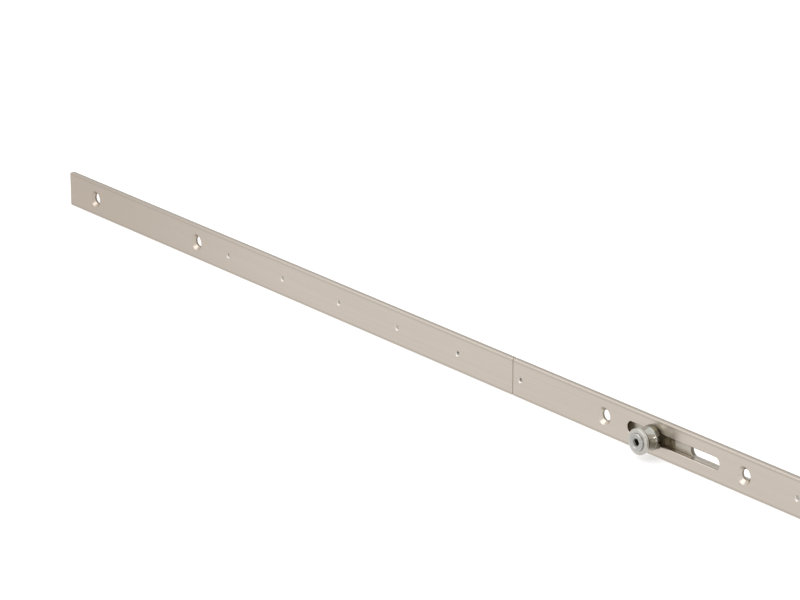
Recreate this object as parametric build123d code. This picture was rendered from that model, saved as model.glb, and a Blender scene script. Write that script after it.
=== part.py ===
"""Multipoint door lock: a long slim faceplate with roller locking points, a flat drive rail behind it
and a lever-lift lock case with a sprung latch and a deadbolt. All sizes are in millimetres.

X runs along the lock, from the top end (the extension) towards the bottom end.
Y runs from the faceplate's front into the edge of the door.
Z runs across the faceplate.
The origin lies on the faceplate's front, on its centre line, level with the spindle.
"""
import os
from math import atan, cos, degrees, pi, radians, sin, tan

from build123d import *

# Faceplate and its extension
PLATE_W = 20.0
PLATE_T = 3.0
PLATE_EDGE_R = 0.7
PLATE_CORNER_R = 0.8
EXTENSION_END = -1150.0
BUTT_JOINT = -750.0
BUTT_GAP = 0.3
BOLT_GAP = 0.3
BOTTOM_END = 1020.0

# Holes in the faceplate
SCREW_NECK_R = 2.9
SCREW_SINK_R = 4.75
PIN_HOLE_R = 1.1
PIN_SINK_R = 1.7
PIN_HOLE_START = -994.0
PIN_HOLE_PITCH = 50.0
PIN_HOLE_CLEAR = 16.0
SLOT_LENGTH = 66.0
SLOT_W = 6.5
SLOT_RIM = 0.3
BLIND_DEPTH = 1.8

# Strap behind the butt joint, and its blind rivets
SPLICE = (-800.0, -704.0)
SPLICE_T = 3.0
SPLICE_W = 14.0
SPLICE_RIVETS = [-785.0, -765.0, -731.0, -716.0]
SPLICE_RIVET_R = 2.0
SPLICE_RIVET_HEAD_R = 3.4
SPLICE_RIVET_HEAD_H = 1.1

# Travel of the drive, from rest: handle pressed down, and handle lifted to lock
TRAVEL_DOWN = 12.0
TRAVEL_LOCK = 36.0

# Roller units: slot centres, their fixing screws either side, and where the roller rests in its slot
UNIT_CENTRES = [-630.0, -300.0, 390.0, 730.0]
UNIT_SCREW_OFFSET = 50.0
ROLLER_REST_OFFSET = -14.0
EXTENSION_SCREWS = [-1124.0, -1024.0]
CASE_AREA_SCREWS = [-180.0, 255.0]
BOTTOM_SCREWS = [900.0, 1000.0]

# Drive rails behind the faceplate
RAIL_Y = 3.2
RAIL_T = 2.3
RAIL_W = 16.0
RAIL_BACK = RAIL_Y + RAIL_T
RAIL_WINDOW_W = SLOT_W
SCREW_WINDOW_BEFORE = 40.5
GUIDE_WINDOW_BEFORE = 43.0
WINDOW_AFTER = 19.0
RAIL_TOP_END = -664.5
RAIL_UPPER_HOOK_END = -105.0
RAIL_LOWER_HOOK_END = 163.0
RAIL_BOTTOM_END = 735.0

# T-shaped guides pegged into the faceplate
GUIDES = [-510.0, -430.0, -150.0, 230.0, 510.0, 600.0]
GUIDE_PEGS = [-3.5, 3.5]
GUIDE_PEG_R = 1.5
GUIDE_NECK_HALF = 6.0
GUIDE_NECK_W = RAIL_WINDOW_W - 0.4
GUIDE_CAP_HALF = 8.0
GUIDE_CAP_W = 14.0
GUIDE_CAP_Y = RAIL_BACK + 0.2
GUIDE_CAP_T = 1.6

# Roller units, drawn along Y
ROLLER_ECCENTRICITY = 0.8
SHANK_R = 3.0
JOURNAL_R = 3.5
RUNNING_GAP = 0.05
ROLLER_HEAD_R = 6.8
ROLLER_BODY_R = 5.7
ROLLER_FLANGE_R = 6.3
ROLLER_GROOVE_R = 5.0
ROLLER_BASE = -0.8
ROLLER_FACE = -10.6
ROLLER_HEAD_T = 2.0
ROLLER_HEAD_EDGE = 0.5
ROLLER_GROOVE_W = 1.2
ROLLER_FLANGE_T = 1.9
ROLLER_FLANGE_EDGE = 0.2
ROLLER_FILLET = 0.4
ROLLER_WAIST = 0.2
ROLLER_SINK_R = 4.7
ROLLER_SINK_DEPTH = 2.0
PIN_HEAD_R = 4.6
PIN_HEAD_BACK = ROLLER_FACE + 1.9
PIN_HEAD_FRONT = ROLLER_FACE - 0.9
PIN_HEAD_EDGE = 0.3
PIN_DISH_R = 3.3
PIN_DISH = 0.25
PIN_FOOT_R = 4.5
PIN_FOOT_EDGE_R = 3.2
PIN_FOOT_T = 1.1
HEX_ACROSS_FLATS = 4.0
HEX_DEPTH = 4.5
WASHER_FRONT = (-0.7, -0.1)
WASHER_FRONT_R = 6.2
WASHER_BACK = (RAIL_BACK, RAIL_BACK + 0.8)
WASHER_BACK_R = 6.5

# Lock case
CASE_TOP = -68.0
CASE_BOTTOM = 148.0
CASE_REAR = 62.0
CASE_Z0 = -9.2
CASE_Z1 = 6.8
CASE_WALL = 1.5
CASE_FLOOR = CASE_Z0 + CASE_WALL
CASE_LID = CASE_Z1 - CASE_WALL
BACKSET = 45.0
CASE_FRONT_SCREWS = [-61.0, 141.0]
CASE_SCREW_R = 2.0
CASE_SCREW_HEAD_R = 3.9
CASE_SCREW_LENGTH = 8.0
SLIM_POSTS = [(-58.0, 10.4), (138.0, 10.4)]
STOUT_POSTS = [(-58.0, 52.0), (138.0, 52.0), (40.0, 54.0)]
BOLT_POST = (57.0, 32.0)
SLIM_POST_R = 2.0
STOUT_POST_R = 3.0
BOLT_POST_R = 2.5
CASE_LUG_T = 1.8
CASE_LUG_X = 12.0
CASE_LUG_Z0 = -4.5
CASE_CORNER_R = 4.0
CASE_SLIDER_GAP = 0.6
COVER_SCREW_R = 1.25
COVER_SCREW_HEAD_R = 2.4
COVER_SCREW_DEPTH = 6.0
COVER_SCREW_CROSS = (3.2, 0.7, 1.1)
CASE_SCREW_CROSS = (4.4, 0.9, 1.2)

# Cylinder opening
CYLINDER_X = 92.0
CYLINDER_R = 8.7
CYLINDER_STEM_W = 10.6
CYLINDER_STEM_END = 25.2
CYLINDER_SCREW_R = 2.75
CYLINDER_SCREW_SINK_R = 5.0

# The two followers on the spindle: one has the gear sector for the drive slider's rack, one the latch arm
GEAR_MODULE = 2.0
GEAR_TEETH = 28
GEAR_PITCH_R = GEAR_MODULE * GEAR_TEETH / 2
GEAR_TIP_R = GEAR_PITCH_R + GEAR_MODULE
GEAR_ROOT_R = GEAR_PITCH_R - 1.25 * GEAR_MODULE
PRESSURE_ANGLE = radians(20)
BACKLASH = 0.16
TRAIN_Z0 = -7.5
TRAIN_Z1 = -5.2
HUB_SPLIT = (-2.8, -2.6)
HUB_R = 11.0
HUB_JOURNAL_R = 8.0
BUSH_R = 9.5
SPINDLE_SQUARE = 8.1
ARM_LENGTH = 28.0
ARM_TIP_R = 4.0
ARM_TIP_HALF = 2.8
ARM_ROOT_HALF = 5.0
ARM_Z1 = 4.0
ARM_REST_ANGLE = radians(195)

# Drive slider
SLIDER_Y0 = 6.2
SLIDER_ENDS = (-121.0, 179.0)
SLIDER_HOOKS = [(-117.0, -109.0), (167.0, 175.0)]
HOOK_FRONT = 3.4

# Latch and deadbolt
BOLT_HALF_T = 5.0
LATCH_X = (-52.0, -24.0)
LATCH_REACH = 12.0
LATCH_BACK = 14.0
LATCH_TAIL_X = (-44.0, -37.0)
LATCH_TAIL_HALF_T = 2.5
LATCH_TAIL_END = 46.0
LATCH_SHOULDER_Y = 41.9
LATCH_SHOULDER_END = -26.6
LATCH_TIP_T = 3.2
LATCH_BEVEL_START = -1.0
LATCH_BEVEL_MIDDLE = (-7.44, 0.6)
LATCH_SPRING_X = -48.6
LATCH_SPRING_R = 3.0
LATCH_SPRING_WIRE = 0.8
SPRING_STOP_Y = 38.0
SPRING_STOP_T = 2.0
SPRING_STOP_X = (-52.5, -44.8)
DEADBOLT_X = (45.0, 79.0)
DEADBOLT_BACK = 26.0
DEADBOLT_THROW = 20.0
DEADBOLT_EDGE = 0.6
DEADBOLT_TAIL_X = (50.0, 75.0)
DEADBOLT_TAIL_END = 59.5
DEADBOLT_TAIL_HALF_T = 1.5
DEADBOLT_EAR_X = (74.0, 80.5)
DEADBOLT_EARS = [(42.5, 46.3), (55.7, DEADBOLT_TAIL_END)]
BOLT_CORNER_R = 1.0
BRAKE_LEAF_T = 0.6
BRAKE_LEAF_HALF_W = 1.8
BRAKE_CREST_X = 49.9
BRAKE_END_X = 46.2
BRAKE_Y = (30.0, 58.0)
BRAKE_FOOT = 1.2


def block(x, y, z):
    """A block between two values along each axis."""
    size = (x[1] - x[0], y[1] - y[0], z[1] - z[0])
    return Pos((x[0] + x[1]) / 2, (y[0] + y[1]) / 2, (z[0] + z[1]) / 2) * Box(*size)


def facing_y(x, y, z=0.0):
    """A sketch plane whose normal points into the door."""
    return Plane(origin=(x, y, z), x_dir=(1, 0, 0), z_dir=(0, 1, 0))


def round_y(x, y0, y1, radius, z=0.0):
    """A round bar along Y."""
    return extrude(facing_y(x, y0, z) * Circle(radius), y1 - y0)


def round_z(x, y, z0, z1, radius):
    """A round bar along Z."""
    return extrude(Pos(x, y, z0) * Circle(radius), z1 - z0)


def turned_y(x, profile, z=0.0):
    """A piece turned about an axis along Y, from (radius, y) corners."""
    corners = [Vector(x + radius, y, z) for radius, y in profile]
    half = make_face(Polyline(*corners, close=True))
    return revolve(half, Axis((x, 0, z), (0, 1, 0)))


def sunk_hole(x, neck_r, sink_r, depth=PLATE_T):
    """The cutter for a countersunk hole in the faceplate's front."""
    over = 0.2
    sink = [(0, -over), (sink_r + over, -over), (neck_r, sink_r - neck_r), (neck_r, depth + over), (0, depth + over)]
    return turned_y(x, sink)


def screw_positions():
    """Every wood screw in the faceplate and its extension."""
    unit_screws = [c + side * UNIT_SCREW_OFFSET for c in UNIT_CENTRES for side in (-1, 1)]
    return EXTENSION_SCREWS + unit_screws + CASE_AREA_SCREWS + BOTTOM_SCREWS


def pin_hole_positions():
    """The evenly pitched pin holes, left out where anything else stands in their place."""
    taken = [(s - PIN_HOLE_CLEAR, s + PIN_HOLE_CLEAR) for s in screw_positions()]
    taken += [(c - UNIT_SCREW_OFFSET, c + UNIT_SCREW_OFFSET) for c in UNIT_CENTRES]
    taken += [(g - PIN_HOLE_CLEAR, g + PIN_HOLE_CLEAR) for g in GUIDES]
    taken += [(SLIDER_ENDS[0], SLIDER_ENDS[1] + PIN_HOLE_PITCH)]
    count = int((BOTTOM_END - PIN_HOLE_START) // PIN_HOLE_PITCH)
    pitched = [PIN_HOLE_START + PIN_HOLE_PITCH * i for i in range(count + 1)]
    return [x for x in pitched if not any(low < x < high for low, high in taken)]


def plate_strip(x0, x1):
    """A faceplate strip with rounded end corners and rounded front edges."""
    outline = facing_y((x0 + x1) / 2, 0) * Rectangle(x1 - x0, PLATE_W)
    strip = extrude(outline, PLATE_T)
    strip = fillet(strip.edges().filter_by(Axis.Y), PLATE_CORNER_R)
    front_edges = strip.faces().sort_by(Axis.Y)[0].edges()
    return fillet(front_edges, PLATE_EDGE_R)


def drilled(strip, x0, x1):
    """A strip with the wood screw holes and pin holes that fall between two ends."""
    cutters = [sunk_hole(x, SCREW_NECK_R, SCREW_SINK_R) for x in screw_positions() if x0 < x < x1]
    cutters += [sunk_hole(x, PIN_HOLE_R, PIN_SINK_R) for x in pin_hole_positions() if x0 < x < x1]
    return strip - cutters


def front_opening(x_range, half_height):
    """The cutter for a rounded rectangular opening through the faceplate."""
    width = x_range[1] - x_range[0]
    outline = RectangleRounded(width, 2 * half_height, BOLT_CORNER_R)
    return extrude(facing_y(sum(x_range) / 2, -1) * outline, PLATE_T + 2)


def slot_cutter(centre):
    """The cutter for a roller slot, its front rim eased."""
    hole = extrude(facing_y(centre, -1) * SlotOverall(SLOT_LENGTH, SLOT_W), PLATE_T + 2)
    rim = facing_y(centre, 0) * SlotOverall(SLOT_LENGTH + 2 * SLOT_RIM, SLOT_W + 2 * SLOT_RIM)
    return hole + extrude(rim, SLOT_RIM, taper=45)


def faceplate_main():
    """The main faceplate with its slots, bolt openings and blind peg holes."""
    x0, x1 = BUTT_JOINT + BUTT_GAP / 2, BOTTOM_END
    plate = drilled(plate_strip(x0, x1), x0, x1)
    cutters = [slot_cutter(centre) for centre in UNIT_CENTRES]
    for bolt_x in (LATCH_X, DEADBOLT_X):
        cutters.append(front_opening((bolt_x[0] - BOLT_GAP, bolt_x[1] + BOLT_GAP), BOLT_HALF_T + BOLT_GAP))
    cutters += [sunk_hole(x, CASE_SCREW_R, CASE_SCREW_HEAD_R) for x in CASE_FRONT_SCREWS]
    cutters.append(sunk_hole(CYLINDER_X, CYLINDER_SCREW_R, CYLINDER_SCREW_SINK_R))
    blind = PLATE_T - BLIND_DEPTH
    cutters += [round_y(g + p, blind, PLATE_T + 1, GUIDE_PEG_R) for g in GUIDES for p in GUIDE_PEGS]
    cutters += [round_y(x, blind, PLATE_T + 1, SPLICE_RIVET_R) for x in SPLICE_RIVETS if x > BUTT_JOINT]
    return plate - cutters


def faceplate_extension():
    """The extension piece that butts against the main faceplate's top end."""
    x0, x1 = EXTENSION_END, BUTT_JOINT - BUTT_GAP / 2
    plate = drilled(plate_strip(x0, x1), x0, x1)
    blind = PLATE_T - BLIND_DEPTH
    return plate - [round_y(x, blind, PLATE_T + 1, SPLICE_RIVET_R) for x in SPLICE_RIVETS if x < BUTT_JOINT]


def splice_plate():
    """The strap behind the butt joint, clear of the pin holes."""
    middle = sum(SPLICE) / 2
    strap = extrude(facing_y(middle, PLATE_T) * RectangleRounded(SPLICE[1] - SPLICE[0], SPLICE_W, 2), SPLICE_T)
    strap = chamfer(strap.faces().sort_by(Axis.Y)[-1].edges(), 0.5)
    y0, y1 = PLATE_T - 1, PLATE_T + SPLICE_T + 1
    cutters = [round_y(x, y0, y1, SPLICE_RIVET_R) for x in SPLICE_RIVETS]
    cutters += [round_y(x, y0, y1, PIN_SINK_R) for x in pin_hole_positions() if SPLICE[0] < x < SPLICE[1]]
    return strap - cutters


def splice_rivets():
    """Blind rivets that hold the strap without showing on the front."""
    y0, y1 = PLATE_T - BLIND_DEPTH, PLATE_T + SPLICE_T
    head_r, head_y = SPLICE_RIVET_HEAD_R, y1 + SPLICE_RIVET_HEAD_H
    profile = [(0, y0), (SPLICE_RIVET_R, y0), (SPLICE_RIVET_R, y1), (head_r, y1),
               (head_r, (y1 + head_y) / 2), (head_r * 0.6, head_y), (0, head_y)]
    return [turned_y(x, profile) for x in SPLICE_RIVETS]


def rail_guides():
    """T-shaped guides pegged into the faceplate, which hold the rails against it."""
    guides = []
    for x in GUIDES:
        neck = extrude(facing_y(x, PLATE_T) * SlotOverall(2 * GUIDE_NECK_HALF, GUIDE_NECK_W), GUIDE_CAP_Y - PLATE_T)
        cap = extrude(facing_y(x, GUIDE_CAP_Y) * RectangleRounded(2 * GUIDE_CAP_HALF, GUIDE_CAP_W, 2), GUIDE_CAP_T)
        cap = chamfer(cap.faces().sort_by(Axis.Y)[-1].edges(), 0.6)
        pegs = [round_y(x + p, PLATE_T - BLIND_DEPTH, PLATE_T, GUIDE_PEG_R) for p in GUIDE_PEGS]
        guides.append((neck + cap) + pegs)
    return guides


def rail_window(first, last, before):
    """The cutter for a rail window that lets the rail pass fixed screws or guides."""
    x0, x1 = first - before, last + WINDOW_AFTER
    outline = SlotOverall(x1 - x0, RAIL_WINDOW_W)
    return extrude(facing_y((x0 + x1) / 2, RAIL_Y - 1) * outline, RAIL_T + 2)


def hook_notch(hook):
    """The cutter for the edge notch that a hook of the slider drops into."""
    fit = 0.05
    return block((hook[0] - fit, hook[1] + fit), (RAIL_Y - 1, RAIL_BACK + 1), (-PLATE_W, TRAIN_Z1 + 0.1))


def rail_bar(x0, x1):
    """A plain rail with rounded end corners."""
    outline = RectangleRounded(x1 - x0, RAIL_W, 2)
    return extrude(facing_y((x0 + x1) / 2, RAIL_Y) * outline, RAIL_T)


def shank_hole(unit_centre):
    """The cutter for a roller pin's pivot hole in a rail."""
    x = unit_centre + ROLLER_REST_OFFSET - ROLLER_ECCENTRICITY
    return round_y(x, RAIL_Y - 1, RAIL_BACK + 1, SHANK_R + RUNNING_GAP)


def drive_rail_upper():
    """The rail from the top roller down to the lock case."""
    screws = [UNIT_CENTRES[0] + UNIT_SCREW_OFFSET, UNIT_CENTRES[1] - UNIT_SCREW_OFFSET,
              UNIT_CENTRES[1] + UNIT_SCREW_OFFSET]
    cutters = [rail_window(x, x, SCREW_WINDOW_BEFORE) for x in screws]
    cutters += [rail_window(x, x, GUIDE_WINDOW_BEFORE) for x in GUIDES[:2]]
    cutters.append(rail_window(CASE_AREA_SCREWS[0], GUIDES[2], SCREW_WINDOW_BEFORE))
    cutters += [shank_hole(c) for c in UNIT_CENTRES[:2]]
    cutters.append(hook_notch(SLIDER_HOOKS[0]))
    return rail_bar(RAIL_TOP_END, RAIL_UPPER_HOOK_END) - cutters


def drive_rail_lower():
    """The rail from the lock case down to the bottom roller."""
    screws = [UNIT_CENTRES[2] - UNIT_SCREW_OFFSET, UNIT_CENTRES[2] + UNIT_SCREW_OFFSET,
              UNIT_CENTRES[3] - UNIT_SCREW_OFFSET]
    cutters = [rail_window(x, x, SCREW_WINDOW_BEFORE) for x in screws]
    cutters += [rail_window(x, x, GUIDE_WINDOW_BEFORE) for x in GUIDES[4:]]
    cutters.append(rail_window(GUIDES[3], CASE_AREA_SCREWS[1], GUIDE_WINDOW_BEFORE))
    cutters += [shank_hole(c) for c in UNIT_CENTRES[2:]]
    cutters.append(hook_notch(SLIDER_HOOKS[1]))
    return rail_bar(RAIL_LOWER_HOOK_END, RAIL_BOTTOM_END) - cutters


def roller_washers(y_range, outer_r):
    """A washer on every roller pin's shank, in front of the faceplate or behind the rail."""
    washers = []
    for centre in UNIT_CENTRES:
        x = centre + ROLLER_REST_OFFSET - ROLLER_ECCENTRICITY
        ring = round_y(x, y_range[0], y_range[1], outer_r)
        washers.append(ring - round_y(x, y_range[0] - 1, y_range[1] + 1, SHANK_R + RUNNING_GAP))
    return washers


def roller_pin(unit_centre):
    """The eccentric pin: a shank in the rail, an offset journal for the sleeve and a dished head with a socket."""
    x = unit_centre + ROLLER_REST_OFFSET
    shank_x = x - ROLLER_ECCENTRICITY
    journal_end = WASHER_FRONT[0] - 0.05
    shank = round_y(shank_x, journal_end, WASHER_BACK[1], SHANK_R)
    foot_end = WASHER_BACK[1] + PIN_FOOT_T
    foot = turned_y(shank_x, [(0, WASHER_BACK[1]), (PIN_FOOT_R, WASHER_BACK[1]),
                              (PIN_FOOT_R, (WASHER_BACK[1] + foot_end) / 2), (PIN_FOOT_EDGE_R, foot_end), (0, foot_end)])
    dish_y = PIN_HEAD_FRONT + PIN_DISH
    upper = turned_y(x, [(0, journal_end), (JOURNAL_R, journal_end), (JOURNAL_R, PIN_HEAD_BACK),
                         (PIN_HEAD_R, PIN_HEAD_BACK), (PIN_HEAD_R, PIN_HEAD_FRONT + PIN_HEAD_EDGE),
                         (PIN_HEAD_R - PIN_HEAD_EDGE, PIN_HEAD_FRONT), (PIN_DISH_R, PIN_HEAD_FRONT),
                         (PIN_DISH_R - PIN_DISH, dish_y), (0, dish_y)])
    hexagon = RegularPolygon(HEX_ACROSS_FLATS / 2, 6, major_radius=False)
    socket = extrude(facing_y(x, PIN_HEAD_FRONT - 1) * hexagon, HEX_DEPTH + 1)
    return upper + shank + foot - socket


def roller_sleeve(unit_centre):
    """The hardened roller: a base flange, a slightly waisted body and a larger head with a counterbore."""
    x = unit_centre + ROLLER_REST_OFFSET
    bore_r = JOURNAL_R + RUNNING_GAP
    sink_y = ROLLER_FACE + ROLLER_SINK_DEPTH
    head_back = ROLLER_FACE + ROLLER_HEAD_T
    groove_y = head_back + ROLLER_GROOVE_W
    flange_y = ROLLER_BASE - ROLLER_FLANGE_T
    edge, fillet_r, easing = ROLLER_HEAD_EDGE, ROLLER_FILLET, 1 - cos(pi / 4)

    def at(radius, y):
        return (x + radius, y)

    bead_start, bead_end = at(ROLLER_HEAD_R - edge, ROLLER_FACE), at(ROLLER_HEAD_R, ROLLER_FACE + edge)
    side_start, side_end = at(ROLLER_BODY_R, groove_y), at(ROLLER_BODY_R, flange_y - fillet_r)
    root_end = at(ROLLER_BODY_R + fillet_r, flange_y)
    waist = at(ROLLER_BODY_R - ROLLER_WAIST, (groove_y + flange_y) / 2)
    inside = Polyline(root_end, at(ROLLER_FLANGE_R, flange_y + ROLLER_FLANGE_EDGE), at(ROLLER_FLANGE_R, ROLLER_BASE),
                      at(bore_r, ROLLER_BASE), at(bore_r, sink_y), at(ROLLER_SINK_R, sink_y),
                      at(ROLLER_SINK_R, ROLLER_FACE), bead_start)
    bead = ThreePointArc(bead_start, at(ROLLER_HEAD_R - edge * easing, ROLLER_FACE + edge * easing), bead_end)
    back = Polyline(bead_end, at(ROLLER_HEAD_R, head_back - edge / 2), at(ROLLER_HEAD_R - edge / 2, head_back),
                    at(ROLLER_GROOVE_R, head_back), at(ROLLER_GROOVE_R, groove_y), side_start)
    root = ThreePointArc(side_end, at(ROLLER_BODY_R + fillet_r * easing, flange_y - fillet_r * easing), root_end)
    outline = inside + bead + back + ThreePointArc(side_start, waist, side_end) + root
    return revolve(make_face(outline), Axis((x, 0, 0), (0, 1, 0)))


def rack_tooth_profile(centre_x, pitch_y):
    """The four corners of a rack tooth that points into the door."""
    half = pi * GEAR_MODULE / 4 - BACKLASH / 4
    root, tip = 1.25 * GEAR_MODULE, 0.95 * GEAR_MODULE
    slope = tan(PRESSURE_ANGLE)
    return [(centre_x - half - root * slope, pitch_y - root), (centre_x - half + tip * slope, pitch_y + tip),
            (centre_x + half - tip * slope, pitch_y + tip), (centre_x + half + root * slope, pitch_y - root)]


def drive_slider():
    """The flat slider in the case: a rack on its rear edge, slots for two posts and a hook at each end."""
    pitch_y = BACKSET - GEAR_PITCH_R
    root_y = pitch_y - 1.25 * GEAR_MODULE
    pitch = pi * GEAR_MODULE
    z = (TRAIN_Z0, TRAIN_Z1)
    thickness = TRAIN_Z1 - TRAIN_Z0
    bar = block(SLIDER_ENDS, (SLIDER_Y0, root_y), z)
    first = -TRAVEL_LOCK - 10
    last = TRAVEL_DOWN + 10
    teeth = []
    for i in range(-20, 20):
        centre_x = (i + 0.5) * pitch
        if first < centre_x < last:
            tooth = make_face(Polyline(*rack_tooth_profile(centre_x, pitch_y), close=True))
            teeth.append(extrude(Pos(0, 0, TRAIN_Z0) * tooth, thickness))
    hooks = [block(hook, (HOOK_FRONT, SLIDER_Y0), z) for hook in SLIDER_HOOKS]
    slots = []
    clearance = 0.6
    slot_w = 2 * SLIM_POST_R + 0.3
    for x, y in SLIM_POSTS:
        x0 = x - TRAVEL_LOCK - SLIM_POST_R - clearance
        x1 = x + TRAVEL_DOWN + SLIM_POST_R + clearance
        slots.append(extrude(Pos((x0 + x1) / 2, y, TRAIN_Z0 - 1) * SlotOverall(x1 - x0, slot_w), thickness + 2))
    return bar + teeth + hooks - slots


def polar(radius, angle, centre=(0.0, BACKSET)):
    """A point at a radius and an angle in radians about the spindle."""
    return (centre[0] + radius * cos(angle), centre[1] + radius * sin(angle))


def involute_angle(radius):
    """How far an involute flank has turned from the base circle at a radius."""
    base_r = GEAR_PITCH_R * cos(PRESSURE_ANGLE)
    roll = max((radius / base_r) ** 2 - 1, 0) ** 0.5
    return roll - atan(roll)


def gear_tooth(middle_angle):
    """One tooth of the sector, its flanks drawn as arcs through three points of the involute."""
    base_r = GEAR_PITCH_R * cos(PRESSURE_ANGLE)
    half_at_pitch = pi / 2 / GEAR_TEETH - BACKLASH / 4 / GEAR_PITCH_R
    inner_r = GEAR_ROOT_R - 0.5
    tip_r = GEAR_TIP_R - 0.1

    def flank_point(radius, side):
        half = half_at_pitch + involute_angle(GEAR_PITCH_R) - involute_angle(radius)
        return polar(radius, middle_angle + side * half)

    low = [flank_point(base_r, side) for side in (-1, 1)]
    mid = [flank_point(GEAR_PITCH_R, side) for side in (-1, 1)]
    top = [flank_point(tip_r, side) for side in (-1, 1)]
    feet = [polar(inner_r, middle_angle + side * half_at_pitch * 1.15) for side in (-1, 1)]
    edges = [Line(feet[0], low[0]), ThreePointArc(low[0], mid[0], top[0]), Line(top[0], top[1]),
             ThreePointArc(top[1], mid[1], low[1]), Line(low[1], feet[1]), Line(feet[1], feet[0])]
    return make_face(edges)


def spindle_square():
    """The cutter for the spindle's square, through both followers."""
    square = Rectangle(SPINDLE_SQUARE, SPINDLE_SQUARE)
    return extrude(Pos(0, BACKSET, CASE_Z0 - 1) * square, CASE_Z1 - CASE_Z0 + 2)


def drive_follower():
    """The follower that drives the rails: a hub with the spindle's square and a gear sector for the rack."""
    contact = -pi / 2
    tooth_angle = 2 * pi / GEAR_TEETH
    before = int(TRAVEL_LOCK / GEAR_PITCH_R / tooth_angle) + 2
    after = int(TRAVEL_DOWN / GEAR_PITCH_R / tooth_angle) + 2
    angles = [contact + tooth_angle * i for i in range(-before, after + 1)]
    start, end = angles[0] - tooth_angle / 2, angles[-1] + tooth_angle / 2
    middle = (start + end) / 2
    rim = [Line((0, BACKSET), polar(GEAR_ROOT_R, start)),
           ThreePointArc(polar(GEAR_ROOT_R, start), polar(GEAR_ROOT_R, middle), polar(GEAR_ROOT_R, end)),
           Line(polar(GEAR_ROOT_R, end), (0, BACKSET))]
    sector = make_face(rim)
    for angle in angles:
        sector += gear_tooth(angle)
    gear = extrude(Pos(0, 0, TRAIN_Z0) * sector, TRAIN_Z1 - TRAIN_Z0)
    hub = round_z(0, BACKSET, TRAIN_Z0, HUB_SPLIT[0], HUB_R)
    journal = round_z(0, BACKSET, CASE_Z0, TRAIN_Z0 + 1, HUB_JOURNAL_R)
    return gear + hub + journal - spindle_square()


def latch_follower():
    """The follower that draws the latch: a hub on the same spindle with a round-ended arm."""
    tip = polar(ARM_LENGTH, ARM_REST_ANGLE)
    side = (-sin(ARM_REST_ANGLE), cos(ARM_REST_ANGLE))
    corners = [(ARM_ROOT_HALF * side[0], BACKSET + ARM_ROOT_HALF * side[1]),
               (tip[0] + ARM_TIP_HALF * side[0], tip[1] + ARM_TIP_HALF * side[1]),
               (tip[0] - ARM_TIP_HALF * side[0], tip[1] - ARM_TIP_HALF * side[1]),
               (-ARM_ROOT_HALF * side[0], BACKSET - ARM_ROOT_HALF * side[1])]
    arm = extrude(Pos(0, 0, HUB_SPLIT[1]) * make_face(Polyline(*corners, close=True)), ARM_Z1 - HUB_SPLIT[1])
    arm += round_z(tip[0], tip[1], HUB_SPLIT[1], ARM_Z1, ARM_TIP_R)
    hub_end = CASE_LID - 0.2
    hub = round_z(0, BACKSET, HUB_SPLIT[1], hub_end, HUB_R)
    journal = round_z(0, BACKSET, hub_end - 1, CASE_Z1, HUB_JOURNAL_R)
    return hub + journal + arm - spindle_square()


def follower_bushes():
    """Plain bushes that line the followers' holes in the case and its cover."""
    bushes = []
    for z0, z1 in ((CASE_Z0, CASE_FLOOR), (CASE_LID, CASE_Z1)):
        ring = round_z(0, BACKSET, z0, z1, BUSH_R)
        bushes.append(ring - round_z(0, BACKSET, z0 - 1, z1 + 1, HUB_JOURNAL_R + RUNNING_GAP))
    return bushes


def cylinder_opening():
    """The cutter for the keyhole-shaped opening of a profile cylinder, through the whole case."""
    z0, height = CASE_Z0 - 1, CASE_Z1 - CASE_Z0 + 2
    stem_r = CYLINDER_STEM_W / 2
    stem_end = CYLINDER_X + CYLINDER_STEM_END - stem_r
    stem = block((CYLINDER_X, stem_end), (BACKSET - stem_r, BACKSET + stem_r), (z0, z0 + height))
    return round_z(CYLINDER_X, BACKSET, z0, z0 + height, CYLINDER_R) + [
        stem, round_z(stem_end, BACKSET, z0, z0 + height, stem_r)]


def case_outline():
    """The side view of the case, square at the front and rounded at the rear."""
    width, depth = CASE_BOTTOM - CASE_TOP, CASE_REAR - PLATE_T
    outline = Rectangle(width, depth)
    rear = outline.vertices().sort_by(Axis.Y)[-2:]
    middle = Pos((CASE_TOP + CASE_BOTTOM) / 2, (PLATE_T + CASE_REAR) / 2)
    return middle * fillet(rear, CASE_CORNER_R)


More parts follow.
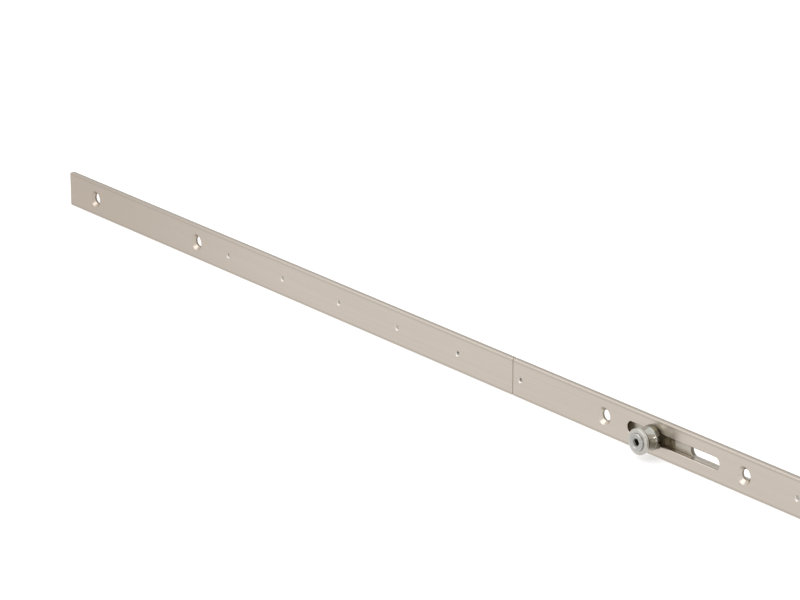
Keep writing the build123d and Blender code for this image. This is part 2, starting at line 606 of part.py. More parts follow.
def case_body():
    """The pressed tray of the case, with front lugs for the faceplate and a stop for the latch spring."""
    outline = case_outline()
    shell = extrude(Pos(0, 0, CASE_Z0) * outline, CASE_LID - CASE_Z0)
    inner = block((CASE_TOP + CASE_WALL, CASE_BOTTOM - CASE_WALL), (PLATE_T - 1, CASE_REAR - CASE_WALL),
                  (CASE_FLOOR, CASE_LID + 1))
    inner = fillet(inner.edges().filter_by(Axis.Z).sort_by(Axis.Y)[-2:], CASE_CORNER_R - CASE_WALL)
    shell -= inner
    lug_y, lug_z = (PLATE_T, PLATE_T + CASE_LUG_T), (CASE_LUG_Z0, CASE_LID)
    lugs = [block((CASE_TOP + CASE_WALL, CASE_TOP + CASE_LUG_X), lug_y, lug_z),
            block((CASE_BOTTOM - CASE_LUG_X, CASE_BOTTOM - CASE_WALL), lug_y, lug_z)]
    stop = block(SPRING_STOP_X, (SPRING_STOP_Y, SPRING_STOP_Y + SPRING_STOP_T), (CASE_FLOOR, LATCH_SPRING_R))
    rack_tip_y = BACKSET - GEAR_PITCH_R + GEAR_MODULE
    slider_room = block((CASE_TOP - 1, CASE_BOTTOM + 1), (PLATE_T - 1, rack_tip_y + CASE_SLIDER_GAP),
                        (CASE_FLOOR, TRAIN_Z1 + CASE_SLIDER_GAP))
    shell = shell - slider_room + lugs + stop
    cutters = [round_y(x, PLATE_T - 1, PLATE_T + 3, CASE_SCREW_R, z=0) for x in CASE_FRONT_SCREWS]
    cutters += [round_z(0, BACKSET, CASE_Z0 - 1, CASE_FLOOR + 1, BUSH_R), cylinder_opening()]
    return shell - cutters


def post_positions():
    """Each post of the case with its radius."""
    return ([(x, y, SLIM_POST_R) for x, y in SLIM_POSTS] + [(x, y, STOUT_POST_R) for x, y in STOUT_POSTS]
            + [(*BOLT_POST, BOLT_POST_R)])


def case_posts():
    """Riveted posts between the case and its cover, tapped for the cover screws."""
    posts = []
    for x, y, radius in post_positions():
        post = round_z(x, y, CASE_FLOOR, CASE_LID, radius)
        posts.append(post - round_z(x, y, CASE_LID - COVER_SCREW_DEPTH, CASE_LID + 1, COVER_SCREW_R))
    return posts


def cover_screws():
    """Countersunk screws that hold the cover on the posts."""
    screws = []
    for x, y, _ in post_positions():
        head_h = COVER_SCREW_HEAD_R - COVER_SCREW_R
        profile = [(0, CASE_Z1), (COVER_SCREW_HEAD_R, CASE_Z1), (COVER_SCREW_R, CASE_Z1 - head_h),
                   (COVER_SCREW_R, CASE_LID - COVER_SCREW_DEPTH), (0, CASE_LID - COVER_SCREW_DEPTH)]
        corners = [Vector(x + radius, y, z) for radius, z in profile]
        screw = revolve(make_face(Polyline(*corners, close=True)), Axis((x, y, 0), (0, 0, 1)))
        length, width, depth = COVER_SCREW_CROSS
        sizes = (length, width, 2 * depth), (width, length, 2 * depth)
        cross = [Pos(x, y, CASE_Z1) * Box(*size) for size in sizes]
        screws.append(screw - cross)
    return screws


def case_cover():
    """The flat cover plate, countersunk for its screws."""
    plate = extrude(Pos(0, 0, CASE_LID) * case_outline(), CASE_WALL)
    cutters = [round_z(0, BACKSET, CASE_LID - 1, CASE_Z1 + 1, BUSH_R), cylinder_opening()]
    head_h = COVER_SCREW_HEAD_R - COVER_SCREW_R
    for x, y, _ in post_positions():
        profile = [(0, CASE_Z1 + 0.5), (COVER_SCREW_HEAD_R + 0.5, CASE_Z1 + 0.5),
                   (COVER_SCREW_R, CASE_Z1 - head_h), (COVER_SCREW_R, CASE_LID - 1), (0, CASE_LID - 1)]
        corners = [Vector(x + radius, y, z) for radius, z in profile]
        cutters.append(revolve(make_face(Polyline(*corners, close=True)), Axis((x, y, 0), (0, 0, 1))))
    return plate - cutters


def case_front_screws():
    """The screws through the faceplate into the case's lugs."""
    head_h = CASE_SCREW_HEAD_R - CASE_SCREW_R
    profile = [(0, 0.1), (CASE_SCREW_HEAD_R - 0.1, 0.1), (CASE_SCREW_R, head_h),
               (CASE_SCREW_R, CASE_SCREW_LENGTH), (0, CASE_SCREW_LENGTH)]
    screws = []
    for x in CASE_FRONT_SCREWS:
        length, width, depth = CASE_SCREW_CROSS
        cross = [Pos(x, 0, 0) * Box(*size) for size in ((length, 2 * depth, width), (width, 2 * depth, length))]
        screws.append(turned_y(x, profile) - cross)
    return screws


def latch_bolt():
    """The sprung latch: a bevelled head, a slim tail and a shoulder that the latch follower's arm pushes."""
    head = block(LATCH_X, (-LATCH_REACH, LATCH_BACK), (-BOLT_HALF_T, BOLT_HALF_T))
    head = fillet(head.edges().filter_by(Axis.Y), BOLT_CORNER_R)
    tip_z = LATCH_TIP_T - BOLT_HALF_T
    wedge = [(LATCH_BEVEL_START, BOLT_HALF_T + 0.01), (-LATCH_REACH - 1, BOLT_HALF_T + 1),
             (-LATCH_REACH - 1, tip_z), (-LATCH_REACH, tip_z)]
    side = Plane(origin=(LATCH_X[0] - 1, 0, 0), x_dir=(0, 1, 0), z_dir=(1, 0, 0))
    edge = Polyline(*wedge) + ThreePointArc(wedge[-1], LATCH_BEVEL_MIDDLE, wedge[0])
    bevel = extrude(side * make_face(edge), LATCH_X[1] - LATCH_X[0] + 2)
    tail_z = (-LATCH_TAIL_HALF_T, LATCH_TAIL_HALF_T)
    tail = block(LATCH_TAIL_X, (LATCH_BACK - 1, LATCH_TAIL_END), tail_z)
    shoulder = block((LATCH_TAIL_X[0], LATCH_SHOULDER_END), (LATCH_SHOULDER_Y, LATCH_TAIL_END), tail_z)
    return head - bevel + tail + shoulder


def latch_spring():
    """The latch's return spring, as the plain sleeve that its turns fill."""
    sleeve = round_y(LATCH_SPRING_X, LATCH_BACK, SPRING_STOP_Y, LATCH_SPRING_R)
    inside = round_y(LATCH_SPRING_X, LATCH_BACK - 1, SPRING_STOP_Y + 1, LATCH_SPRING_R - LATCH_SPRING_WIRE)
    return sleeve - inside


def deadbolt():
    """The deadbolt: a square head, a slotted tail and two ears that the cylinder's cam pushes."""
    head = block(DEADBOLT_X, (0, DEADBOLT_BACK), (-BOLT_HALF_T, BOLT_HALF_T))
    head = fillet(head.edges().filter_by(Axis.Y), BOLT_CORNER_R)
    head = chamfer(head.faces().sort_by(Axis.Y)[0].edges(), DEADBOLT_EDGE)
    tail_z = (-DEADBOLT_TAIL_HALF_T, DEADBOLT_TAIL_HALF_T)
    tail = block(DEADBOLT_TAIL_X, (DEADBOLT_BACK - 1, DEADBOLT_TAIL_END), tail_z)
    ears = [block(DEADBOLT_EAR_X, y, tail_z) for y in DEADBOLT_EARS]
    slot_x, slot_y = BOLT_POST
    slot_r = BOLT_POST_R + 0.15
    y0, y1 = slot_y - slot_r - 0.5, slot_y + DEADBOLT_THROW + slot_r + 0.5
    slot = Pos(slot_x, (y0 + y1) / 2, tail_z[0] - 1) * Rot(0, 0, 90) * SlotOverall(y1 - y0, 2 * slot_r)
    return head + tail + ears - extrude(slot, 2 * DEADBOLT_TAIL_HALF_T + 2)


def deadbolt_brake_spring():
    """A bowed leaf spring that bears on the edge of the deadbolt's tail."""
    y0, y1 = BRAKE_Y
    middle = (y0 + y1) / 2
    back_end, back_crest = BRAKE_END_X - BRAKE_LEAF_T, BRAKE_CREST_X - BRAKE_LEAF_T
    outer = ThreePointArc((BRAKE_END_X, y0), (BRAKE_CREST_X, middle), (BRAKE_END_X, y1))
    inner = ThreePointArc((back_end, y0), (back_crest, middle), (back_end, y1))
    ends = [Line((BRAKE_END_X, y), (back_end, y)) for y in BRAKE_Y]
    leaf = extrude(Pos(0, 0, -BRAKE_LEAF_HALF_W) * make_face([outer, inner] + ends), 2 * BRAKE_LEAF_HALF_W)
    foot = block((back_end - BRAKE_FOOT, BRAKE_END_X), (y1 - BRAKE_LEAF_T, y1), (CASE_FLOOR, BRAKE_LEAF_HALF_W))
    return leaf + foot


def write(name, shape):
    """Write one sub-part, or a group of identical ones, as parts/NAME.step."""
    if isinstance(shape, list):
        shape = Compound(children=[piece.solids()[0] for piece in shape])
    shape.label = name
    export_step(shape, f"parts/{name}.step")


def main():
    os.makedirs("parts", exist_ok=True)
    write("faceplate_main", faceplate_main())
    write("faceplate_extension", faceplate_extension())
    write("splice_plate", splice_plate())
    write("splice_rivets", splice_rivets())
    write("rail_guides", rail_guides())
    write("drive_rail_upper", drive_rail_upper())
    write("drive_rail_lower", drive_rail_lower())
    write("drive_slider", drive_slider())
    write("roller_front_washers", roller_washers(WASHER_FRONT, WASHER_FRONT_R))
    write("roller_back_washers", roller_washers(WASHER_BACK, WASHER_BACK_R))
    for number, centre in enumerate(UNIT_CENTRES, start=1):
        write(f"roller_pin_{number}", roller_pin(centre))
        write(f"roller_sleeve_{number}", roller_sleeve(centre))
    write("drive_follower", drive_follower())
    write("latch_follower", latch_follower())
    write("follower_bushes", follower_bushes())
    write("case_body", case_body())
    write("case_cover", case_cover())
    write("case_posts", case_posts())
    write("cover_screws", cover_screws())
    write("case_front_screws", case_front_screws())
    write("latch_bolt", latch_bolt())
    write("latch_spring", latch_spring())
    write("deadbolt", deadbolt())
    write("deadbolt_brake_spring", deadbolt_brake_spring())
    lock_angle = degrees(TRAVEL_LOCK / GEAR_PITCH_R)
    down_angle = degrees(TRAVEL_DOWN / GEAR_PITCH_R)
    print(f"drive follower turns {lock_angle:.3f} degrees to lock and {down_angle:.3f} degrees down")


main()
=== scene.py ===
import logging
import math
from abc import ABC, abstractmethod
from collections.abc import Iterable
from dataclasses import dataclass, replace
from enum import Enum
from functools import cached_property, reduce
from operator import add
from typing import Any

import bmesh
import bpy
from mathutils import Matrix, Vector


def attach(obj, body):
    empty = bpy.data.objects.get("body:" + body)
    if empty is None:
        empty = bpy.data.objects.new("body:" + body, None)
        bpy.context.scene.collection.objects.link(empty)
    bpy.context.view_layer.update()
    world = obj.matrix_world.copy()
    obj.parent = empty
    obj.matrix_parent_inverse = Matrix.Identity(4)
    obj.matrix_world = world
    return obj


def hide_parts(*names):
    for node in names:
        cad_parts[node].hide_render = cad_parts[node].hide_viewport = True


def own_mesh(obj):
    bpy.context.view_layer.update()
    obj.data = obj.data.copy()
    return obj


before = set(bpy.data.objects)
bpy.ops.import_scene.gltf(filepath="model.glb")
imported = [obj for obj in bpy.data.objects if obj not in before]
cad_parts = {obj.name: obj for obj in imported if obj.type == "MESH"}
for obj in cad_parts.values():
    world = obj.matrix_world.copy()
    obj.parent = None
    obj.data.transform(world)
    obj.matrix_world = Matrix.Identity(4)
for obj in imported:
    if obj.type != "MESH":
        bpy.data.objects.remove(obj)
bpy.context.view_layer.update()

log = logging.getLogger("multipoint_lock")

Colour = tuple[float, float, float]
Point = tuple[float, float, float]
Levels = tuple[float, float]
Shares = tuple[float, ...]

MM = 0.001
UNIT_CENTRES = (-630 * MM, -300 * MM, 390 * MM, 730 * MM)
ROLLER_REST_OFFSET = -14 * MM
ROLLERS_AT = tuple(centre + ROLLER_REST_OFFSET for centre in UNIT_CENTRES)
WHITE: Colour = (1.0, 1.0, 1.0)
# Dark brown of thick lubricant, also used as painted shade in the faceplate's slots and holes and round the
# rollers.
GREASE: Colour = (0.105, 0.078, 0.042)


class Ray(Enum):
    """The kinds of ray that see the white studio."""

    CAMERA = "Is Camera Ray"
    GLOSSY = "Is Glossy Ray"
    THROUGH = "Is Transmission Ray"


class Wire:
    """A shader socket, on which Python's arithmetic adds Math nodes."""

    def __init__(self, graph: "Graph", source: bpy.types.NodeSocket) -> None:
        """Wrap an output socket, with the graph that new Math nodes go into."""
        self.graph = graph
        self.source = source

    def _math(self, operation: str, *values: Any) -> "Wire":
        """Add a Math node on these values and return its result."""
        return self.graph.add("ShaderNodeMath", {"operation": operation}, dict(enumerate(values)))

    def __add__(self, other: Any) -> "Wire":
        """This value plus another."""
        return self._math("ADD", self, other)

    def __radd__(self, other: Any) -> "Wire":
        """Another value plus this one."""
        return self._math("ADD", other, self)

    def __sub__(self, other: Any) -> "Wire":
        """This value less another."""
        return self._math("SUBTRACT", self, other)

    def __rsub__(self, other: Any) -> "Wire":
        """Another value less this one."""
        return self._math("SUBTRACT", other, self)

    def __mul__(self, other: Any) -> "Wire":
        """This value times another."""
        return self._math("MULTIPLY", self, other)

    def __rmul__(self, other: Any) -> "Wire":
        """Another value times this one."""
        return self._math("MULTIPLY", other, self)

    def __abs__(self) -> "Wire":
        """This value without its sign."""
        return self._math("ABSOLUTE", self)

    def fraction(self) -> "Wire":
        """What is left of this value past a whole number."""
        return self._math("FRACT", self)

    def sine(self) -> "Wire":
        """The sine of this value in radians."""
        return self._math("SINE", self)

    def root(self) -> "Wire":
        """The square root of this value."""
        return self._math("SQRT", self)

    def ramp(self, levels: Levels, at_low: float, at_high: float) -> "Wire":
        """Change smoothly from one value to another.

        Args:
            levels: where this value starts the change and where it ends it.
            at_low: the result up to the first level.
            at_high: the result from the second level on.

        Returns:
            The smoothed value.
        """
        settings = {"interpolation_type": "SMOOTHSTEP", "clamp": True}
        low, high = levels
        values = {"Value": self, "From Min": low, "From Max": high, "To Min": at_low, "To Max": at_high}
        return self.graph.add("ShaderNodeMapRange", settings, values)

    def rise(self, levels: Levels) -> "Wire":
        """Go smoothly from 0 to 1 between two levels."""
        return self.ramp(levels, 0.0, 1.0)

    def fall(self, levels: Levels) -> "Wire":
        """Go smoothly from 1 to 0 between two levels."""
        return self.ramp(levels, 1.0, 0.0)

    def between(self, levels: Levels) -> "Wire":
        """Spread this value, from 0 to 1, evenly from one level to the other."""
        return self * (levels[1] - levels[0]) + levels[0]


def total(values: Iterable[Wire]) -> Wire:
    """The sum of some values."""
    return reduce(add, values)


def weighed(shares: Shares, *values: Wire) -> Wire:
    """The sum of some values, each times its share."""
    return total(value * share for share, value in zip(shares, values, strict=True))


@dataclass(frozen=True)
class Grain:
    """One soft random pattern.

    Attributes:
        waves: how many of its waves lie in a metre, in all directions or along each axis.
        detail: how many finer layers it has.
        roughness: how strong the finer layers are.
        shift: what moves it away from other patterns, in waves.
    """

    waves: float | Point
    detail: float = 2.0
    roughness: float = 0.5
    shift: Point = (0.0, 0.0, 0.0)


class Graph:
    """The node graph of one material or of the world, with the place of each point in metres."""

    def __init__(self, owner: bpy.types.ID) -> None:
        """Clear the owner's nodes.

        Args:
            owner: the material or the world.
        """
        owner.use_nodes = True
        self.tree = owner.node_tree
        self.tree.nodes.clear()
        family = "World" if isinstance(owner, bpy.types.World) else "Material"
        self.output = f"ShaderNodeOutput{family}"

    def make(self, kind: str, settings: dict[str, Any], sockets: dict[Any, Any]) -> bpy.types.Node:
        """Add one node.

        Args:
            kind: the node's type name.
            settings: its own settings, which are set before the sockets.
            sockets: the values or wires for its inputs, by name or number.

        Returns:
            The node.
        """
        node = self.tree.nodes.new(kind)
        for key, value in settings.items():
            setattr(node, key, value)
        for key, value in sockets.items():
            if isinstance(value, Wire):
                self.tree.links.new(value.source, node.inputs[key])
            else:
                node.inputs[key].default_value = value
        return node

    def add(self, kind: str, settings: dict[str, Any], sockets: dict[Any, Any], output: Any = 0) -> Wire:
        """Add one node and return one of its outputs, by name or number."""
        return Wire(self, self.make(kind, settings, sockets).outputs[output])

    def axes(self, point: Wire) -> tuple[Wire, Wire, Wire]:
        """Split a point or a colour into its three numbers."""
        numbers = self.make("ShaderNodeSeparateXYZ", {}, {0: point}).outputs
        return tuple(Wire(self, number) for number in numbers)

    @cached_property
    def point(self) -> Wire:
        """The point of the surface in the lock's frame."""
        return self.add("ShaderNodeTexCoord", {}, {}, "Object")

    @cached_property
    def place(self) -> tuple[Wire, Wire, Wire]:
        """The point's three numbers."""
        return self.axes(self.point)

    @property
    def along(self) -> Wire:
        """X, from the lock's top end towards its bottom."""
        return self.place[0]

    @property
    def depth(self) -> Wire:
        """Y, from the faceplate's front into the door."""
        return self.place[1]

    @property
    def across(self) -> Wire:
        """Z, from the centre line."""
        return self.place[2]

    @cached_property
    def reach(self) -> Wire:
        """How far the point is from the centre line, on either side."""
        return abs(self.across)

    def noise(self, grain: Grain) -> Wire:
        """Make a soft random value from 0 to 1.

        Args:
            grain: the pattern.

        Returns:
            The value.
        """
        waves = grain.waves if isinstance(grain.waves, tuple) else (grain.waves,) * 3
        mapped = {"Vector": self.point, "Scale": waves, "Location": grain.shift}
        spread = self.add("ShaderNodeMapping", {}, mapped)
        sockets = {"Vector": spread, "Scale": 1.0, "Detail": grain.detail, "Roughness": grain.roughness}
        return self.add("ShaderNodeTexNoise", {}, sockets, "Fac")

    def noises(self, *grains: Grain) -> tuple[Wire, ...]:
        """Make the values of several soft patterns."""
        return tuple(self.noise(grain) for grain in grains)

    @staticmethod
    def opaque(colour: Any) -> Any:
        """Give a plain colour its fourth number, and leave a wire as it is."""
        return colour if isinstance(colour, Wire) else (*colour, 1.0)

    def blend(self, factor: Wire, first: Any, second: Any) -> Wire:
        """Mix two colours, by a factor that is 0 for the first and 1 for the second."""
        # A Mix node has its socket names several times, so the ones for colours go by number.
        sockets = {0: factor, 6: self.opaque(first), 7: self.opaque(second)}
        return self.add("ShaderNodeMix", {"data_type": "RGBA"}, sockets, 2)

    def bump(self, height: Wire, strength: float, distance: float) -> Wire:
        """A normal from a height."""
        return self.add("ShaderNodeBump", {}, {"Height": height, "Strength": strength, "Distance": distance})

    def ray(self, kind: Ray) -> Wire:
        """1 for this kind of ray and 0 for the others."""
        return self.add("ShaderNodeLightPath", {}, {}, kind.value)

    def surface(self, shader: Wire) -> None:
        """Join a shader to the output."""
        self.make(self.output, {}, {"Surface": shader})


@dataclass(frozen=True, kw_only=True)
class Finish(ABC):
    """A metal or plastic finish that can dress a piece.

    Attributes:
        label: the material's name.
        colour: its main tone.
        roughness: how matt it is before its patterns add their shares.
        roughness_shares: how much each pattern adds.
        relief_strength: how clearly its relief shows.
        relief_height: how high the relief is.
    """

    label: str
    colour: Colour
    roughness: float
    roughness_shares: Shares
    relief_strength: float
    relief_height: float

    @abstractmethod
    def paint(self, graph: Graph) -> Wire:
        """Build the nodes.

        Args:
            graph: the material's graph.

        Returns:
            The shader.
        """

    def material(self) -> bpy.types.Material:
        """Make the material.

        Returns:
            The material with its nodes.
        """
        made = bpy.data.materials.new(self.label)
        graph = Graph(made)
        graph.surface(self.paint(graph))
        return made

    def matt(self, *patterns: Wire) -> Wire:
        """Its roughness, from the patterns that change it."""
        return weighed(self.roughness_shares, *patterns) + self.roughness

    def relief(self, graph: Graph, height: Wire) -> Wire:
        """Its normal, from the height of its relief."""
        return graph.bump(height, self.relief_strength, self.relief_height)


@dataclass(frozen=True, kw_only=True)
class BareMetal(Finish):
    """A bare or plated metal of two tones.

    Attributes:
        dark: its darker tone.
        tone_shares: how much each pattern counts in the tone.
        tone_levels: the tones that are fully dark and fully light.
        oil: how much clear oil lies on it.
    """

    dark: Colour
    tone_shares: Shares
    tone_levels: Levels = (0.3, 0.7)
    oil: float = 0.0

    def tone(self, *patterns: Wire) -> Wire:
        """Its tone, from 0 for the darker one to 1 for the main one."""
        return weighed(self.tone_shares, *patterns).rise(self.tone_levels)

    def toned(self, graph: Graph, tone: Wire) -> Wire:
        """Its colour, from its tone."""
        return graph.blend(tone, self.dark, self.colour)

    def shader(self, graph: Graph, colour: Wire, roughness: Wire, normal: Wire, metallic: Any = 1.0) -> Wire:
        """Make the shader, with metallic below 1 where lubricant, painted shade and painted highlights cover
        the metal.
        """
        sockets = {"Base Color": colour, "Metallic": metallic, "Roughness": roughness, "Normal": normal}
        return graph.add("ShaderNodeBsdfPrincipled", {}, sockets | {"Coat Weight": self.oil})


@dataclass(frozen=True, kw_only=True)
class BrushedNickel(BareMetal):
    """Satin nickel plating over steel that is brushed along the lock.

    Attributes:
        shade_tone: the tone of the painted shade on the long edges and in punched openings.
        half_width: half the piece's width.
        rear_from: the depths over which the painted shade on its sides comes in.
        streaks: the fine brushing.
        coarse: the coarse brushing.
        clouds: the faint clouding.
        relief_shares: how much both brushings count in the relief.
        side_from: where the long sides start, from the piece's edge.
        crease_from: where the crease ahead of their rounding starts, from the edge.
        crease_to: where the crease ends, from the edge.
        lower_to: where the lower edge's shade ends, from the edge.
        edge_shade_shares: how strong the painted shade is on the sides' rear, the crease and the lower edge.
    """

    shade_tone: Colour
    half_width: float
    rear_from: Levels
    streaks: Grain = Grain((9.0, 2600.0, 2600.0), 3.0, 0.6)
    coarse: Grain = Grain((3.0, 500.0, 500.0), shift=(0.4, 0.2, 0.7))
    clouds: Grain = Grain((12.0, 60.0, 60.0), 3.0)
    tone_shares: Shares = (0.4, 0.3, 0.3)
    roughness: float = 0.21
    roughness_shares: Shares = (0.10, 0.08)
    relief_shares: Shares = (0.7, 0.3)
    relief_strength: float = 0.22
    relief_height: float = 0.03 * MM
    side_from: Levels = (-0.7 * MM, -0.1 * MM)
    crease_from: Levels = (-1.8 * MM, -1.3 * MM)
    crease_to: Levels = (-0.8 * MM, -0.4 * MM)
    lower_to: Levels = (0.7 * MM, 0.98 * MM)
    edge_shade_shares: Shares = (0.9, 0.32, 0.35)

    def paint(self, graph: Graph) -> Wire:
        """Build streaks along X and faint clouding, with painted shade along the long edges.

        Args:
            graph: the material's graph.

        Returns:
            The shader.
        """
        colour, roughness, normal = self.brushed(graph)
        colour = self.shade_edges(graph, self.side(graph), colour)
        return self.shader(graph, colour, roughness, normal)

    def brushed(self, graph: Graph) -> tuple[Wire, Wire, Wire]:
        """Brush the plating.

        Args:
            graph: the material's graph.

        Returns:
            Its colour, roughness and normal.
        """
        streaks, coarse, clouds = graph.noises(self.streaks, self.coarse, self.clouds)
        colour = self.toned(graph, self.tone(streaks, coarse, clouds))
        normal = self.relief(graph, weighed(self.relief_shares, streaks, coarse))
        return colour, self.matt(streaks, clouds), normal

    def side(self, graph: Graph) -> Wire:
        """1 on the long sides and 0 on the faces."""
        return (graph.reach - self.half_width).rise(self.side_from)

    def shade_edges(self, graph: Graph, side: Wire, colour: Wire) -> Wire:
        """Paint shade along the long edges.

        Args:
            graph: the material's graph.
            side: where the long sides are.
            colour: the colour so far.

        Returns:
            The colour with the painted shade on the edges.
        """
        # The sides' rear, the crease before the rounded edge and the lower edge get painted shade.
        from_edge = graph.reach - self.half_width
        rear = side * graph.depth.rise(self.rear_from)
        crease = from_edge.rise(self.crease_from) * from_edge.fall(self.crease_to)
        lower = (graph.across + self.half_width).fall(self.lower_to)
        for mask, share in zip((rear, crease, lower), self.edge_shade_shares, strict=True):
            colour = graph.blend(mask * share, colour, self.shade_tone)
        return colour


@dataclass(frozen=True, kw_only=True)
class PunchedPlate(BrushedNickel):
    """The faceplate's brushed nickel, with painted shade in its slots and holes, a painted highlight in its
    pin holes and painted shade towards its top end.

    Attributes:
        top_end_shade: the painted shade's tone towards the top end.
        light: the tone of the painted highlight on the pin holes' walls.
        grease_and_shade: the tone of lubricant and painted shade at the slots' ends, and of painted shade on
            the slots' walls and in the screw holes.
        top_end_shade_to: where the painted shade of the top end fades out.
        top_edge: where the edge of the top end gets painted shade.
        top_share: how strong that painted shade is.
        side_share: how much painted shade the sides get towards the top end.
        clear_from: where the holes' tones start.
        clear_to: where they end.
        slots_at: the slots' middles.
        slot_to: where a slot ends, from its middle.
        walls_from: the depths over which the walls' painted shade starts.
        walls_to: the depths over which it ends.
        walls_across: where it ends across the plate.
        shade_change_from: where the painted shade on a slot's walls grows stronger, from its middle.
        wall_shares: how strong the walls' painted shade is before and after that.
        walls_depth: the depths between which its strength changes.
        depth_shares: how strong it is at both depths.
        greased_to: where the lubricant and painted shade at a slot's upper end stop, from its middle.
        grease_shade_shares: how dark the slots' ends, their walls and the screw holes are.
        neck_from: the depths over which a screw hole's neck starts.
        pin_hole_start: where one pin hole is.
        pin_hole_pitch: how far apart the pin holes are.
        pin_hole_reach: where a pin hole's walls end, from its axis.
        pin_hole_split: where a pin hole's upper side, with less painted highlight, starts.
        pin_hole_shade: how much of the painted highlight the upper side keeps.
        pin_hole_from: the depths over which the painted highlight starts.
        pin_hole_matt: how far the bright walls lose their mirror.
    """

    top_end_shade: Colour
    light: Colour
    grease_and_shade: Colour = GREASE
    top_end_shade_to: Levels = (-1160 * MM, -880 * MM)
    top_edge: Levels = (-1150 * MM, -1149.3 * MM)
    top_share: float = 0.6
    side_share: float = 0.45
    clear_from: Levels = (-1149 * MM, -1148 * MM)
    clear_to: Levels = (1018 * MM, 1019 * MM)
    slots_at: tuple[float, ...] = UNIT_CENTRES
    slot_to: Levels = (33.5 * MM, 34.5 * MM)
    walls_from: Levels = (0.3 * MM, 0.6 * MM)
    walls_to: Levels = (2.9 * MM, 3.0 * MM)
    walls_across: Levels = (4 * MM, 5 * MM)
    shade_change_from: Levels = (13 * MM, 19 * MM)
    wall_shares: Levels = (0.32, 0.66)
    walls_depth: Levels = (1.0 * MM, 2.6 * MM)
    depth_shares: Levels = (1.45, 0.35)
    greased_to: Levels = (-31 * MM, -27 * MM)
    grease_shade_shares: Shares = (0.85, 0.28, 0.7)
    neck_from: Levels = (1.75 * MM, 1.95 * MM)
    pin_hole_start: float = -994 * MM
    pin_hole_pitch: float = 50 * MM
    pin_hole_reach: Levels = (1.8 * MM, 2.2 * MM)
    pin_hole_split: Levels = (-0.7 * MM, -0.2 * MM)
    pin_hole_shade: float = 0.35
    pin_hole_from: Levels = (0.05 * MM, 0.25 * MM)
    pin_hole_matt: float = 0.9

    def paint(self, graph: Graph) -> Wire:
        """Build the brushed plating, darkened by painted shade towards the top end, with its slots and holes.

        Args:
            graph: the material's graph.

        Returns:
            The shader.
        """
        colour, roughness, normal = self.brushed(graph)
        # Painted shade darkens the top end, and more of it goes on its end face and its long sides.
        side, top_end_shaded = self.side(graph), graph.along.fall(self.top_end_shade_to)
        colour = self.shade_edges(graph, side, graph.blend(top_end_shaded, colour, self.top_end_shade))
        for end_shade in (graph.along.fall(self.top_edge) * self.top_share, side * top_end_shaded * self.side_share):
            colour = graph.blend(end_shade, colour, self.shade_tone)
        colour, clear = self.slotted(graph, colour)
        # Painted highlight on the pin holes' walls, strongest on their lower side.
        bright = self.pin_holes(graph) * clear
        colour = graph.blend(bright, colour, self.light)
        return self.shader(graph, colour, roughness, normal, 1.0 - bright * self.pin_hole_matt)

    def slotted(self, graph: Graph, colour: Wire) -> tuple[Wire, Wire]:
        """Paint shade on the slots' walls, lubricant and painted shade at their upper ends, and painted shade
        in the screw holes.

        Args:
            graph: the material's graph.
            colour: the colour so far.

        Returns:
            The new colour, and a mask that is 1 away from the slots and the plate's ends.
        """
        offsets = [graph.along - middle for middle in self.slots_at]
        slots = [abs(offset).fall(self.slot_to) for offset in offsets]
        placed = list(zip(slots, offsets))
        # Painted shade on the slots' walls, stronger past each slot's middle and near the plate's front.
        walls = total(slot * offset.ramp(self.shade_change_from, *self.wall_shares) for slot, offset in placed)
        walls = walls * graph.depth.ramp(self.walls_depth, *self.depth_shares)
        # Lubricant and painted shade at each slot's upper end.
        ends = total(slot * offset.fall(self.greased_to) for slot, offset in placed)
        clear = graph.along.rise(self.clear_from) * graph.along.fall(self.clear_to) * (1.0 - total(slots))
        inside = graph.depth.rise(self.walls_from) * graph.depth.fall(self.walls_to)
        inside = inside * graph.reach.fall(self.walls_across)
        colour = graph.blend(inside * walls, colour, self.shade_tone)
        # Painted shade deep in the screw holes and the other openings.
        necks = clear * graph.depth.rise(self.neck_from)
        darkened = inside * weighed(self.grease_shade_shares, ends, walls, necks)
        return graph.blend(darkened, colour, self.grease_and_shade), clear

    def pin_holes(self, graph: Graph) -> Wire:
        """Find the pin holes' walls, which get a painted highlight that is strongest on their lower side.

        Args:
            graph: the material's graph.

        Returns:
            How strong the painted highlight is.
        """
        # Half a pitch goes on before the fraction and off after it, so a hole counts on both its sides.
        pitches = (graph.along - self.pin_hole_start) * (1.0 / self.pin_hole_pitch)
        from_hole = abs((pitches + 0.5).fraction() - 0.5) * self.pin_hole_pitch
        bored = from_hole.fall(self.pin_hole_reach) * graph.reach.fall(self.pin_hole_reach)
        bored = bored * graph.across.ramp(self.pin_hole_split, 1.0, self.pin_hole_shade)
        return bored * graph.depth.rise(self.pin_hole_from) * graph.depth.fall(self.walls_to)


